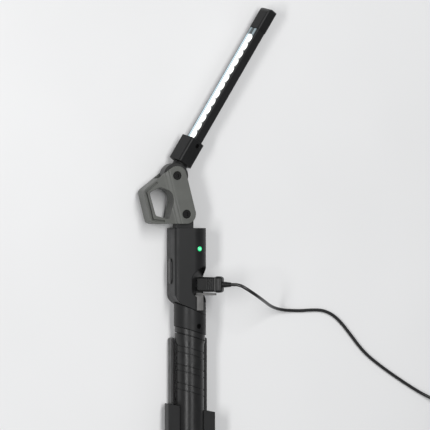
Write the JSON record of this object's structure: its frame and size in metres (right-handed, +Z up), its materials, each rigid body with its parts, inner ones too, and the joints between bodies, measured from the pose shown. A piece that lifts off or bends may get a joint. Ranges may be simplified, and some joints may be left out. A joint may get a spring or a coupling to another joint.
{
  "type": "work light",
  "caption": "Folding rechargeable work light: slim swivelling LED wand on a double-hinged bracket with a hanging loop, round handle with a magnet base, charging lead plugged in.",
  "frame": {"origin": "middle of the underside of the tool as it lies on its back, without its charging lead", "axes": "+Z up out of the tool's front, +Y along the handle towards the wand, +X to the right seen from the front"},
  "size_m": [0.4129, 0.4688, 0.0542],
  "materials": {
    "black_plastic": "satin moulded plastic with a fine grain",
    "hinge_plastic": "satin moulded plastic",
    "rubber_black": "soft matt rubber",
    "rubber_grey": "soft matt rubber",
    "grey_plastic": "matt moulded plastic with a fine grain",
    "black_steel": "blackened steel",
    "spring_steel": "bright steel",
    "tube_plastic": "plain moulded plastic",
    "wand_aluminium": "black anodised",
    "board_green": "solder mask",
    "board_white": "white solder mask",
    "switch_body": "moulded plastic",
    "socket_steel": "plated steel",
    "status_green": "lit translucent plastic",
    "diode_clear": "clear epoxy",
    "cell_wrap": "shrink wrap",
    "magnet_nickel": "nickel plated",
    "diode_yellow": "phosphor, lit",
    "tray_white": "white reflector",
    "lens_clear": "clear moulded cover",
    "plug_plastic": "satin moulded plastic",
    "cord_jacket": "smooth glossy jacket"
  },
  "bodies": {
    "handle": {"head_front_shell": "black_plastic", "head_back_shell": "black_plastic", "neck_ring": "black_plastic", "base_housing": "black_plastic", "hinge_tongue": "hinge_plastic", "grip_sleeve": "rubber_black", "left_side_rail": "rubber_black", "right_side_rail": "rubber_black", "base_end_cap": "rubber_black", "flap_anchor": "rubber_grey", "neck_screw": "black_steel", "housing_screws": "black_steel", "base_screws": "black_steel", "grip_tube": "tube_plastic", "control_board": "board_green", "power_switch": "switch_body", "usb_socket": "socket_steel", "plug_contact": "socket_steel", "far_contact": "socket_steel", "status_lens": "status_green", "status_diode": "diode_clear", "battery_cell": "cell_wrap", "base_magnet": "magnet_nickel", "charge_plug": "plug_plastic", "plug_boot": "plug_plastic", "strain_relief": "plug_plastic", "far_plug": "plug_plastic", "cable_tie": "plug_plastic", "cable_run": "cord_jacket", "cable_coil": "cord_jacket"},
    "bracket": {"bracket_front": "grey_plastic", "bracket_back": "grey_plastic", "pivot_bolts": "black_steel", "pivot_nuts": "black_steel", "friction_washers": "spring_steel"},
    "knuckle": {"wand_knuckle": "hinge_plastic", "swivel_washer": "rubber_black", "swivel_clip": "spring_steel"},
    "wand": {"wand_collar": "hinge_plastic", "collar_screws": "black_steel", "wand_housing": "wand_aluminium", "led_board": "board_white", "led_chips": "diode_yellow", "reflector_tray": "tray_white", "wand_lens": "lens_clear", "tip_cap": "hinge_plastic", "tip_screw": "black_steel"},
    "button": {"power_button": "rubber_black"},
    "flap": {"port_flap": "rubber_grey"}
  },
  "joints": [
    {"name": "bracket_tilt", "type": "hinge", "parent": "handle", "child": "bracket", "pos_m": [-0.02689, 0.02635, 0.016], "axis": [0, 0, 1], "range_deg": [-60, 12]},
    {"name": "wand_tilt", "type": "hinge", "parent": "bracket", "child": "knuckle", "pos_m": [-0.03656, 0.06455, 0.016], "axis": [0, 0, 1], "range_deg": [-45, 85]},
    {"name": "wand_swivel", "type": "hinge", "parent": "knuckle", "child": "wand", "pos_m": [-0.03656, 0.06455, 0.016], "axis": [0.515, 0.8572, 0], "range_deg": [-70, 200]},
    {"name": "power_press", "type": "slide", "parent": "handle", "child": "button", "axis": [1, 0, 0], "range_m": [0, 0.001], "stiffness_N_per_m": 1500},
    {"name": "flap_swing", "type": "hinge", "parent": "handle", "child": "flap", "pos_m": [-0.01242, -0.05315, 0.02211], "axis": [0.6428, 0, -0.766], "range_deg": [0, 40]}
  ]
}
